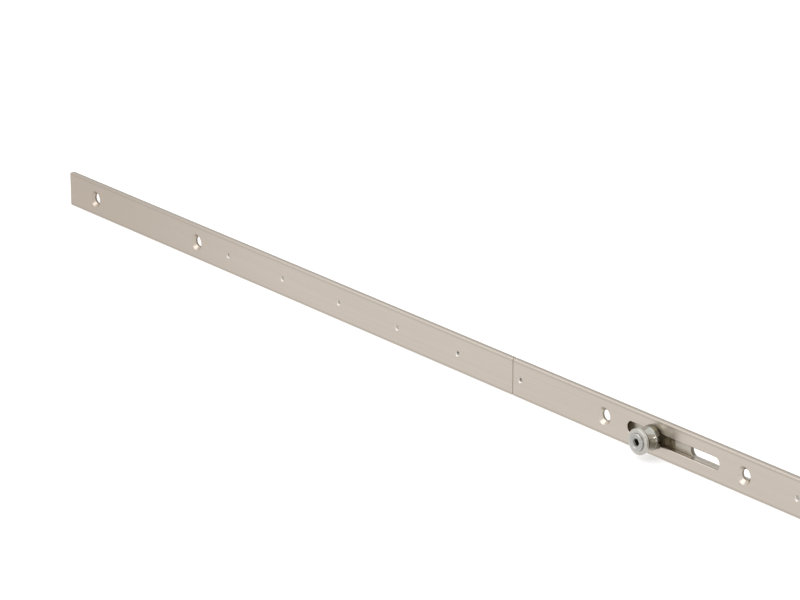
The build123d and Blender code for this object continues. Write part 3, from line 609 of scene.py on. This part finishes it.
@dataclass(frozen=True, kw_only=True)
class RolledStrip(BareMetal):
    """Bright zinc plating over cold-rolled strip.

    Attributes:
        shade_tone: the tone of the painted shade on the windows' sheared walls.
        lines: the rolling lines.
        mottle: the plating's mottle.
        rubbing: where the strip is rubbed.
        rubbed_levels: the levels of that pattern over which rubbing starts.
        relief_shares: how much the lines and the mottle count in the relief.
        walls_from: the depths over which the walls' painted shade starts.
        walls_to: the depths over which it ends.
        walls_weaken: where it weakens across the strip.
        wall_shares: how strong it is before and after that.
        walls_across: where it ends across the strip.
    """

    shade_tone: Colour = (0.13, 0.11, 0.085)
    lines: Grain = Grain((16.0, 1500.0, 1500.0), 3.0)
    mottle: Grain = Grain(220.0, 4.0, 0.6)
    rubbing: Grain = Grain((30.0, 300.0, 300.0))
    rubbed_levels: Levels = (0.55, 0.75)
    tone_shares: Shares = (0.5, 0.5)
    roughness: float = 0.28
    roughness_shares: Shares = (0.16, -0.08)
    relief_shares: Shares = (0.6, 0.4)
    relief_strength: float = 0.25
    relief_height: float = 0.03 * MM
    walls_from: Levels = (3.3 * MM, 3.5 * MM)
    walls_to: Levels = (5.4 * MM, 5.5 * MM)
    walls_weaken: Levels = (2.6 * MM, 3.3 * MM)
    wall_shares: Levels = (0.9, 0.35)
    walls_across: Levels = (3.6 * MM, 4.4 * MM)

    def paint(self, graph: Graph) -> Wire:
        """Build rolling lines along X under a faint mottle, with painted shade on the window walls."""
        return self.shader(graph, *self.rolled(graph))

    def rolled(self, graph: Graph) -> tuple[Wire, Wire, Wire]:
        """Roll and plate the strip.

        Args:
            graph: the material's graph.

        Returns:
            Its colour, roughness and normal.
        """
        lines, mottle, rubbing = graph.noises(self.lines, self.mottle, self.rubbing)
        colour = self.toned(graph, self.tone(lines, mottle))
        inside = graph.depth.rise(self.walls_from) * graph.depth.fall(self.walls_to)
        # Painted shade on the windows' walls, weaker on their long sides.
        walls = graph.reach.ramp(self.walls_weaken, *self.wall_shares) * graph.reach.fall(self.walls_across)
        colour = graph.blend(inside * walls, colour, self.shade_tone)
        normal = self.relief(graph, weighed(self.relief_shares, lines, mottle))
        return colour, self.matt(mottle, rubbing.rise(self.rubbed_levels)), normal


@dataclass(frozen=True, kw_only=True)
class GreasedShadedStrip(RolledStrip):
    """Rolled strip with lubricant and the rollers' painted shade round the roller pins, where the faceplate's
    slots show it.

    Attributes:
        rollers_at: the roller pins' places.
        grease_and_shade: the tone of thick lubricant and deep painted shade.
        thin_grease_shade: the tone of thin lubricant and lighter painted shade.
        grease_shade_from: where the lubricant and painted shade start, from a pin.
        grease_shade_to: where they end, from a pin.
        pin_to: how far round a pin it is thinned.
        grease_shade_depth: the depths over which they fade out.
        grease_shade_across: where they end across the strip.
        smears: the smears that break its border and thin it.
        smear_reach: how much they move the border.
        border_levels: the levels between which the border lies.
        smear_levels: the levels of the smears over which it gets thin.
        specks: the small thin places.
        speck_levels: the levels of that pattern over which they start.
        thin_shares: how much the smears, the pins and the specks thin it.
        gloss: how much less matt it is than the strip.
        cover: how far it hides the metal's mirror.
    """

    rollers_at: tuple[float, ...] = ROLLERS_AT
    grease_and_shade: Colour = GREASE
    thin_grease_shade: Colour = (0.34, 0.27, 0.17)
    grease_shade_from: Levels = (-9 * MM, -6 * MM)
    grease_shade_to: Levels = (10 * MM, 15 * MM)
    pin_to: Levels = (7 * MM, 11 * MM)
    grease_shade_depth: Levels = (5.0 * MM, 5.5 * MM)
    grease_shade_across: Levels = (4.5 * MM, 6.0 * MM)
    smears: Grain = Grain((260.0, 420.0, 420.0), 3.0, 0.6)
    smear_reach: float = 0.8
    border_levels: Levels = (0.25, 0.6)
    smear_levels: Levels = (0.40, 0.66)
    specks: Grain = Grain(620.0, 1.0)
    speck_levels: Levels = (0.50, 0.62)
    thin_shares: Shares = (0.45, 0.21, 0.6)
    gloss: float = 0.06
    cover: float = 0.8

    def paint(self, graph: Graph) -> Wire:
        """Build the rolled strip under mottled lubricant and painted shade.

        Args:
            graph: the material's graph.

        Returns:
            The shader.
        """
        colour, roughness, normal = self.rolled(graph)
        smears, specks = graph.noises(self.smears, self.specks)
        offsets = [graph.along - place for place in self.rollers_at]
        # Lubricant with the rollers' painted shade round each pin, reaching further past the pin than before
        # it.
        lump = total(offset.rise(self.grease_shade_from) * offset.fall(self.grease_shade_to) for offset in offsets)
        near_pin = total(abs(offset).fall(self.pin_to) for offset in offsets)
        slot = graph.depth.fall(self.grease_shade_depth) * graph.reach.fall(self.grease_shade_across)
        # The smears push the border outwards above their middle value and inwards below it.
        greased = (lump + (smears - 0.5) * self.smear_reach).rise(self.border_levels) * slot
        thinned = (smears.rise(self.smear_levels), near_pin, specks.rise(self.speck_levels))
        tone = graph.blend(weighed(self.thin_shares, *thinned), self.grease_and_shade, self.thin_grease_shade)
        colour = graph.blend(greased, colour, tone)
        roughness = roughness - greased * self.gloss
        return self.shader(graph, colour, roughness, normal, 1.0 - greased * self.cover)


@dataclass(frozen=True, kw_only=True)
class TurnedSteel(BareMetal):
    """Plated steel turned in a lathe about an axis along Y, darkened behind its face by oil and painted
    shade.

    Attributes:
        oiled_shaded: its tone under oil and painted shade.
        grime_and_shade: the tone of dirt and painted shade.
        socket: the tone of the hex socket's lit rim.
        socket_shade: the painted shade's tone deep in the socket.
        axis_x: where the axis is along the lock.
        groove_pitch: how far apart the turned grooves are.
        side_slope: how many grooves the sides have for each one on the face.
        fine: the fine grain.
        clouds: the soft clouds.
        relief_shares: how much the grooves and the grain count in the relief.
        oil_shade_from: the depths over which the oil and painted shade start.
        oil_shade_to: the depths over which they end.
        oil_shade_shares: how strong they are on the darkest and the lightest tone.
        band_from: where the painted dark band on the lower side starts across the lock.
        band_to: where it ends.
        band_shares: how strong it is in the weakest and the strongest clouds.
        foot_from: the depths over which the foot's dirt and painted shade start.
        foot_shares: how strong they are in the weakest and the strongest clouds.
        socket_reach: where the socket's walls end, from the axis.
        socket_from: the depths over which the socket starts.
        socket_to: the depths over which it ends.
        socket_shade_from: the depths over which the painted shade comes in.
        socket_matt: how far its walls lose their mirror.
    """

    oiled_shaded: Colour
    grime_and_shade: Colour = (0.13, 0.115, 0.08)
    socket: Colour = (0.62, 0.60, 0.585)
    socket_shade: Colour = (0.035, 0.030, 0.028)
    axis_x: float = ROLLERS_AT[0]
    groove_pitch: float = 0.22 * MM
    side_slope: float = 0.8
    fine: Grain = Grain(900.0, 3.0)
    clouds: Grain = Grain(160.0)
    tone_shares: Shares = (0.12, 0.5, 0.5)
    tone_levels: Levels = (0.25, 0.75)
    roughness: float = 0.25
    roughness_shares: Shares = (0.08, 0.06, -0.17)
    relief_shares: Shares = (0.5, 0.5)
    relief_strength: float = 0.12
    relief_height: float = 0.012 * MM
    oil_shade_from: Levels = (-9.3 * MM, -8.5 * MM)
    oil_shade_to: Levels = (3.0 * MM, 3.3 * MM)
    oil_shade_shares: Levels = (0.7, 1.0)
    band_from: Levels = (-4.6 * MM, -3.8 * MM)
    band_to: Levels = (-0.5 * MM, 0.5 * MM)
    band_shares: Levels = (0.5, 0.9)
    foot_from: Levels = (-2.9 * MM, -2.6 * MM)
    foot_shares: Levels = (0.65, 0.95)
    socket_reach: Levels = (2.35 * MM, 2.55 * MM)
    socket_from: Levels = (-11.2 * MM, -11.0 * MM)
    socket_to: Levels = (-6.8 * MM, -6.6 * MM)
    socket_shade_from: Levels = (-10.9 * MM, -9.7 * MM)
    socket_matt: float = 0.9

    def paint(self, graph: Graph) -> Wire:
        """Build fine rings about the axis and round the sides, oil and painted shade behind the face and
        painted shade deep in the socket.

        Args:
            graph: the material's graph.

        Returns:
            The shader.
        """
        offset = graph.along - self.axis_x
        radius = (offset * offset + graph.across * graph.across).root()
        rings = ((radius + graph.depth * self.side_slope) * (2 * math.pi / self.groove_pitch)).sine()
        fine, clouds = graph.noises(self.fine, self.clouds)
        tone = self.tone(rings, fine, clouds)
        colour, oil_and_shade = self.oil_and_shade_over(graph, tone, clouds)
        socket = graph.depth.rise(self.socket_from) * graph.depth.fall(self.socket_to)
        socket = socket * radius.fall(self.socket_reach)
        # Painted shade deep in the hex socket, below its lighter rim.
        socket_shaded = graph.blend(graph.depth.rise(self.socket_shade_from), self.socket, self.socket_shade)
        colour = graph.blend(socket, colour, socket_shaded)
        normal = self.relief(graph, weighed(self.relief_shares, rings, fine))
        roughness = self.matt(fine, clouds, oil_and_shade)
        return self.shader(graph, colour, roughness, normal, 1.0 - socket * self.socket_matt)

    def oil_and_shade_over(self, graph: Graph, tone: Wire, clouds: Wire) -> tuple[Wire, Wire]:
        """Darken the steel behind its face with oil and painted shade, with a painted dark band across its
        lower side and dirt and painted shade at the foot.

        Args:
            graph: the material's graph.
            tone: the steel's tone.
            clouds: the soft clouds.

        Returns:
            The colour, and where the oil and painted shade lie.
        """
        # Oil and painted shade darken the steel behind the face, a painted dark band shades its lower side,
        # and dirt with painted shade darkens the foot.
        ahead = graph.depth.fall(self.oil_shade_to)
        oil_and_shade = graph.depth.rise(self.oil_shade_from) * ahead
        dark_band = oil_and_shade * graph.across.rise(self.band_from) * graph.across.fall(self.band_to)
        foot = graph.depth.rise(self.foot_from) * ahead
        colour = graph.blend(oil_and_shade * tone.between(self.oil_shade_shares), self.toned(graph, tone), self.oiled_shaded)
        colour = graph.blend(dark_band * clouds.between(self.band_shares), colour, self.grime_and_shade)
        return graph.blend(foot * clouds.between(self.foot_shares), colour, self.grime_and_shade), oil_and_shade


@dataclass(frozen=True, kw_only=True)
class SpangledSheet(BareMetal):
    """Galvanised sheet with a fine zinc spangle.

    Attributes:
        spangle: how many crystals lie in a metre.
        bend: how many bends the crystals' borders have in a metre.
        fine: the grain in the crystals.
        scuffs: the soft scuffs.
        relief_shares: how much the crystals and the grain count in the relief.
    """

    spangle: float = 170.0
    bend: float = 300.0
    fine: Grain = Grain(900.0, 3.0)
    scuffs: Grain = Grain((60.0, 140.0, 60.0), 4.0, 0.6)
    tone_shares: Shares = (0.45, 0.25, 0.3)
    tone_levels: Levels = (0.2, 0.8)
    roughness: float = 0.29
    roughness_shares: Shares = (0.14, 0.12)
    relief_shares: Shares = (0.3, 0.7)
    relief_strength: float = 0.2
    relief_height: float = 0.04 * MM

    def paint(self, graph: Graph) -> Wire:
        """Build crystal patches of two greys, with soft scuffs.

        Args:
            graph: the material's graph.

        Returns:
            The shader.
        """
        bends = graph.add("ShaderNodeTexNoise", {}, {"Vector": graph.point, "Scale": self.bend}, "Color")
        bent = graph.add("ShaderNodeVectorMath", {"operation": "ADD"}, {0: graph.point, 1: bends})
        sockets = {"Vector": bent, "Scale": self.spangle}
        crystals = graph.add("ShaderNodeTexVoronoi", {"feature": "F1"}, sockets, "Color")
        patch, gloss, _ = graph.axes(crystals)
        fine, scuffs = graph.noises(self.fine, self.scuffs)
        colour = self.toned(graph, self.tone(patch, fine, scuffs))
        normal = self.relief(graph, weighed(self.relief_shares, patch, fine))
        return self.shader(graph, colour, self.matt(gloss, scuffs), normal)


@dataclass(frozen=True, kw_only=True)
class CastMetal(BareMetal):
    """Matt cast, sintered or drawn metal with a pitted grain.

    Attributes:
        grain: the pitted grain.
        clouds: the soft clouds.
    """

    grain: Grain = Grain(2200.0, 4.0, 0.65)
    clouds: Grain = Grain(120.0, 3.0)
    tone_shares: Shares = (0.6, 0.4)
    roughness: float = 0.38
    roughness_shares: Shares = (0.15, 0.1)
    relief_strength: float = 0.35
    relief_height: float = 0.05 * MM

    def paint(self, graph: Graph) -> Wire:
        """Build a pitted grain with darker hollows.

        Args:
            graph: the material's graph.

        Returns:
            The shader.
        """
        grain, clouds = graph.noises(self.grain, self.clouds)
        colour = self.toned(graph, self.tone(grain, clouds))
        return self.shader(graph, colour, self.matt(grain, clouds), self.relief(graph, grain))


@dataclass(frozen=True, kw_only=True)
class MouldedNylon(Finish):
    """Moulded plastic with a fine spark-eroded grain.

    Attributes:
        light: the tone of the grain's tips.
        grain: the spark-eroded grain.
        tip_share: how far the tips take that tone.
        rubbing: where the plastic is rubbed.
        rubbed_levels: the levels of that pattern over which rubbing starts.
    """

    light: Colour
    grain: Grain = Grain(2600.0, 3.0)
    tip_share: float = 0.6
    rubbing: Grain = Grain(90.0)
    rubbed_levels: Levels = (0.5, 0.75)
    roughness: float = 0.45
    roughness_shares: Shares = (0.15, -0.15)
    relief_strength: float = 0.3
    relief_height: float = 0.03 * MM

    def paint(self, graph: Graph) -> Wire:
        """Build a matt grain, slightly polished where it is rubbed.

        Args:
            graph: the material's graph.

        Returns:
            The shader.
        """
        grain, rubbing = graph.noises(self.grain, self.rubbing)
        colour = graph.blend(grain * self.tip_share, self.colour, self.light)
        roughness = self.matt(grain, rubbing.rise(self.rubbed_levels))
        sockets = {"Base Color": colour, "Roughness": roughness, "Normal": self.relief(graph, grain)}
        return graph.add("ShaderNodeBsdfPrincipled", {}, sockets)


SATIN_NICKEL = PunchedPlate(
    label="satin_nickel", colour=(0.63, 0.565, 0.495), dark=(0.58, 0.515, 0.45), light=(0.90, 0.87, 0.83),
    top_end_shade=(0.50, 0.43, 0.365), shade_tone=(0.36, 0.315, 0.265), half_width=10 * MM, rear_from=(0.84 * MM, 1.26 * MM))
BOLT_NICKEL = BrushedNickel(
    label="bolt_nickel", colour=(0.62, 0.57, 0.51), dark=(0.50, 0.455, 0.40), shade_tone=(0.50, 0.455, 0.40),
    half_width=5 * MM, rear_from=(16.8 * MM, 25.2 * MM))
ZINC_STRIP = RolledStrip(label="zinc_strip", colour=(0.62, 0.58, 0.51), dark=(0.46, 0.42, 0.36))
GREASED_STRIP = GreasedShadedStrip(label="greased", colour=ZINC_STRIP.colour, dark=ZINC_STRIP.dark)
SLEEVE_STEEL = TurnedSteel(
    label="turned_sleeve", colour=(0.64, 0.62, 0.58), dark=(0.50, 0.48, 0.44), oiled_shaded=(0.52, 0.515, 0.47))
PIN_STEEL = TurnedSteel(
    label="turned_pin", colour=(0.56, 0.55, 0.53), dark=(0.44, 0.43, 0.41), oiled_shaded=(0.52, 0.515, 0.47),
    roughness=0.29)
WASHER_STEEL = TurnedSteel(
    label="turned_washers", colour=(0.62, 0.60, 0.55), dark=(0.44, 0.42, 0.38), oiled_shaded=(0.45, 0.43, 0.36))
GALVANISED = SpangledSheet(label="galvanised_sheet", colour=(0.58, 0.58, 0.57), dark=(0.40, 0.40, 0.395))
SINTERED = CastMetal(label="sintered_steel", colour=(0.34, 0.33, 0.31), dark=(0.20, 0.19, 0.18), oil=0.15)
CAST_ZINC = CastMetal(
    label="cast_zinc", colour=(0.55, 0.55, 0.545), dark=(0.40, 0.40, 0.40), grain=Grain(1500.0, 4.0, 0.65),
    roughness=0.33)
SPRING_STEEL = CastMetal(
    label="spring_steel", colour=(0.30, 0.30, 0.31), dark=(0.14, 0.14, 0.15), grain=Grain(1200.0, 4.0, 0.65),
    roughness=0.18, oil=0.3)
BRIGHT_SCREW = CastMetal(
    label="bright_zinc_screw", colour=(0.62, 0.61, 0.58), dark=(0.46, 0.45, 0.42),
    grain=Grain(1600.0, 4.0, 0.65), roughness=0.16)
BLACK_NYLON = MouldedNylon(label="black_nylon", colour=(0.016, 0.016, 0.017), light=(0.035, 0.035, 0.037))


def dress(finish: Finish, *nodes: str) -> None:
    """Give CAD nodes their finish.

    Args:
        finish: what goes into their material slots.
        nodes: the nodes' names.
    """
    material = finish.material()
    for node in nodes:
        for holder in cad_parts[node].material_slots:
            holder.material = material
        log.info("dressed %s in %s", node, material.name)


@dataclass
class Faceplate:
    """The main faceplate, its extension and what joins and backs them."""

    def build(self) -> None:
        """Dress the plates, the strap, the rivets and the rail guides."""
        dress(SATIN_NICKEL, "faceplate_main", "faceplate_extension")
        dress(ZINC_STRIP, "splice_plate")
        dress(BRIGHT_SCREW, "splice_rivets")
        dress(CAST_ZINC, "rail_guides")


@dataclass
class DriveTrain:
    """The two rails, the slider that joins them and the washers that travel with them.

    Attributes:
        upper_rollers: where the upper rail carries its rollers.
        lower_rollers: where the lower rail carries its rollers.
    """

    upper_rollers: tuple[float, ...] = ROLLERS_AT[:2]
    lower_rollers: tuple[float, ...] = ROLLERS_AT[2:]

    def build(self) -> None:
        """Dress the moving strips and the washers."""
        dress(ZINC_STRIP, "drive_slider", "roller_back_washers")
        for side, rollers in (("upper", self.upper_rollers), ("lower", self.lower_rollers)):
            node = f"drive_rail_{side}"
            label = f"{GREASED_STRIP.label}_{node}"
            dress(replace(GREASED_STRIP, label=label, rollers_at=rollers), node)
        dress(WASHER_STEEL, "roller_front_washers")


@dataclass
class RollerUnit:
    """One roller with its eccentric pin.

    Attributes:
        number: the unit's number from the top.
        axis_x: where its axis is along the lock.
    """

    number: int
    axis_x: float

    def build(self) -> None:
        """Dress the sleeve and the pin with rings about their own axis."""
        for steel, node in ((SLEEVE_STEEL, "roller_sleeve"), (PIN_STEEL, "roller_pin")):
            own = replace(steel, label=f"{steel.label}_{self.number}", axis_x=self.axis_x)
            dress(own, f"{node}_{self.number}")


@dataclass
class CoilSpring:
    """The latch's return spring, wound from round wire with a closed turn at each end.

    Attributes:
        centre_x: the spring's axis along X.
        front: where it bears on the latch.
        back: where it bears on the case's stop.
        outer_radius: the radius outside the wire.
        wire_radius: half the wire's thickness.
        wire_sides: how many sides the wire's round has.
        closed_turns: the turns that lie together at each end.
        closed_pitch: how far a closed turn climbs, in wire radii.
        open_turns: the working turns between them.
        steps_a_turn: how many pieces a turn is made in.
    """

    centre_x: float = -48.6 * MM
    front: float = 14 * MM
    back: float = 38 * MM
    outer_radius: float = 3 * MM
    wire_radius: float = 0.4 * MM
    wire_sides: int = 12
    closed_turns: int = 1
    closed_pitch: float = 2.1
    open_turns: int = 8
    steps_a_turn: int = 24

    def build(self) -> None:
        """Wind the spring, dress it and hang it on the lock frame in place of the CAD spring."""
        wire = self.wound()
        mesh = bpy.data.meshes.new("latch_return_spring")
        wire.to_mesh(mesh)
        wire.free()
        mesh.materials.append(SPRING_STEEL.material())
        spring = bpy.data.objects.new("latch_return_spring", mesh)
        bpy.context.scene.collection.objects.link(spring)
        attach(spring, "lock_frame")
        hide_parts("latch_spring")
        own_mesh(spring)
        log.info("wound latch_return_spring with %d turns", 2 * self.closed_turns + self.open_turns)

    def wound(self) -> bmesh.types.BMesh:
        """Wind the whole spring and close both ends of its wire.

        Returns:
            The spring's mesh.
        """
        wire = bmesh.new()
        mean_radius = self.outer_radius - self.wire_radius
        start = Vector((self.centre_x + mean_radius, self.front + self.wire_radius, 0))
        bmesh.ops.create_circle(wire, segments=self.wire_sides, radius=self.wire_radius,
                                matrix=Matrix.Translation(start))
        closed_pitch = self.closed_pitch * self.wire_radius
        length = self.back - self.front - 2 * self.wire_radius
        open_pitch = (length - 2 * self.closed_turns * closed_pitch) / self.open_turns
        closed, working = (self.closed_turns, closed_pitch), (self.open_turns, open_pitch)
        end, level = wire.edges[:], start.y
        for turns, pitch in (closed, working, closed):
            end = self.wind(wire, end, level, turns, pitch)
            level += turns * pitch
        bmesh.ops.holes_fill(wire, edges=wire.edges[:], sides=0)
        bmesh.ops.recalc_face_normals(wire, faces=wire.faces[:])
        for face in wire.faces:
            face.smooth = len(face.verts) == 4
        return wire

    def wind(self, wire: bmesh.types.BMesh, end: list[bmesh.types.BMEdge], level: float, turns: int,
             pitch: float) -> list[bmesh.types.BMEdge]:
        """Sweep the wire's open end through some turns.

        Args:
            wire: the mesh being wound.
            end: the edges round the wire's open end.
            level: where that end is along the spring.
            turns: how many turns to add.
            pitch: how far one turn climbs.

        Returns:
            The edges round the new end.
        """
        steps = turns * self.steps_a_turn
        last = bmesh.ops.spin(wire, geom=end, cent=(self.centre_x, level, 0), axis=(0, 1, 0),
                              dvec=(0, pitch / self.steps_a_turn, 0), angle=turns * 2 * math.pi, steps=steps,
                              use_merge=False, use_duplicate=False)["geom_last"]
        return [part for part in last if isinstance(part, bmesh.types.BMEdge)]


@dataclass
class LockCase:
    """The lock case with everything that moves in it."""

    def build(self) -> None:
        """Dress the case, its screws, the followers and both bolts, and wind the latch's spring."""
        dress(GALVANISED, "case_body", "case_cover")
        dress(BRIGHT_SCREW, "cover_screws", "case_front_screws", "case_posts")
        dress(SINTERED, "drive_follower", "latch_follower")
        dress(BOLT_NICKEL, "latch_bolt", "deadbolt")
        dress(SPRING_STEEL, "deadbolt_brake_spring")
        dress(BLACK_NYLON, "follower_bushes")
        CoilSpring().build()


@dataclass(frozen=True)
class Lamp:
    """A soft distant lamp.

    Attributes:
        name: the lamp's name.
        towards: a point in its direction, from the origin.
        strength: how much light it gives.
        width: how wide it looks, in degrees.
    """

    name: str
    towards: Point
    strength: float
    width: float

    def build(self) -> None:
        """Hang the lamp."""
        data = bpy.data.lights.new(self.name, "SUN")
        data.energy = self.strength
        data.angle = math.radians(self.width)
        lamp = bpy.data.objects.new(self.name, data)
        lamp.rotation_mode = "QUATERNION"
        lamp.rotation_quaternion = Vector(self.towards).to_track_quat("Z", "Y")
        bpy.context.scene.collection.objects.link(lamp)


@dataclass
class Studio:
    """The plain pale floor, the soft light and the camera.

    Attributes:
        floor_z: how high the floor lies.
        floor_half: half the floor's width.
        floor_colour: the floor's own colour.
        floor_glow: how much light the floor gives where the camera sees it.
        world_strength: how strongly the white surroundings light the lock.
        lamps: the lamps.
        camera_place: where the camera stands.
        camera_right: the direction of the picture's right side.
        camera_up: the direction of its top.
        camera_range: the nearest and the farthest distance that it sees.
        lens_mm: its focal length.
        sensor_mm: the width of its sensor.
    """

    floor_z: float = -10.1 * MM
    floor_half: float = 40.0
    floor_colour: Colour = (0.86, 0.86, 0.86)
    floor_glow: float = 0.45
    world_strength: float = 0.78
    lamps: tuple[Lamp, ...] = (Lamp("soft_key", (-0.25, -0.55, 0.8), 0.62, 50),
                               Lamp("glint", (0.868, -0.355, 0.305), 0.24, 7))
    camera_place: Point = (0.60767, -1.1753, 0.69185)
    camera_right: Point = (0.63041, 0.776261, -0.001583)
    camera_up: Point = (-0.263308, 0.215752, 0.940276)
    camera_range: Levels = (0.05, 200.0)
    lens_mm: float = 168.92
    sensor_mm: float = 36.0

    def build(self) -> None:
        """Make the camera, the floor, the world and the lamps."""
        self.camera()
        self.floor()
        self.world()
        for lamp in self.lamps:
            lamp.build()
        bpy.context.scene.view_settings.view_transform = "Standard"

    def camera(self) -> None:
        """Put the camera where the photograph was taken from."""
        data = bpy.data.cameras.new("photograph_camera")
        data.sensor_width = self.sensor_mm
        data.lens = self.lens_mm
        data.clip_start, data.clip_end = self.camera_range
        right = Vector(self.camera_right).normalized()
        up = Vector(self.camera_up)
        up = (up - right * up.dot(right)).normalized()
        turn = Matrix((right, up, right.cross(up))).transposed()
        camera = bpy.data.objects.new("photograph_camera", data)
        camera.matrix_world = Matrix.Translation(self.camera_place) @ turn.to_4x4()
        bpy.context.scene.collection.objects.link(camera)
        bpy.context.scene.camera = camera

    def floor(self) -> None:
        """Lay a pale floor that shows white, with the lock's shadow."""
        mesh = bpy.data.meshes.new("studio_floor")
        sheet = bmesh.new()
        bmesh.ops.create_grid(sheet, x_segments=1, y_segments=1, size=self.floor_half,
                              matrix=Matrix.Translation((0, 0, self.floor_z)))
        sheet.to_mesh(mesh)
        sheet.free()
        mesh.materials.append(self.floor_paint())
        floor = bpy.data.objects.new("studio_floor", mesh)
        bpy.context.scene.collection.objects.link(floor)

    def floor_paint(self) -> bpy.types.Material:
        """Mix a matt paint that glows for the camera alone and is plain white in mirrors.

        Returns:
            The paint.
        """
        paint = bpy.data.materials.new("studio_floor")
        graph = Graph(paint)
        white = graph.opaque(WHITE)
        matt = graph.add("ShaderNodeBsdfDiffuse", {}, {"Color": graph.opaque(self.floor_colour)})
        strength = graph.ray(Ray.CAMERA) * self.floor_glow
        glow = graph.add("ShaderNodeEmission", {}, {"Color": white, "Strength": strength})
        lit = graph.add("ShaderNodeAddShader", {}, {0: matt, 1: glow})
        plain = graph.add("ShaderNodeEmission", {}, {"Color": white})
        mirrored = graph.ray(Ray.GLOSSY) + graph.ray(Ray.THROUGH)
        graph.surface(graph.add("ShaderNodeMixShader", {}, {0: mirrored, 1: lit, 2: plain}))
        return paint

    def world(self) -> None:
        """Light the scene evenly, with a white background where the camera sees it."""
        world = bpy.data.worlds.new("studio_world")
        bpy.context.scene.world = world
        graph = Graph(world)
        seen = total(graph.ray(kind) for kind in Ray)
        sockets = {"Color": graph.opaque(WHITE), "Strength": seen.ramp((0.0, 1.0), self.world_strength, 1.0)}
        graph.surface(graph.add("ShaderNodeBackground", {}, sockets))


def main() -> None:
    """Build the studio and dress the lock, piece by piece."""
    logging.basicConfig(level=logging.INFO, format="%(message)s")
    Studio().build()
    Faceplate().build()
    DriveTrain().build()
    for number, axis_x in enumerate(ROLLERS_AT, start=1):
        RollerUnit(number, axis_x).build()
    LockCase().build()


if __name__ == "__main__":
    main()
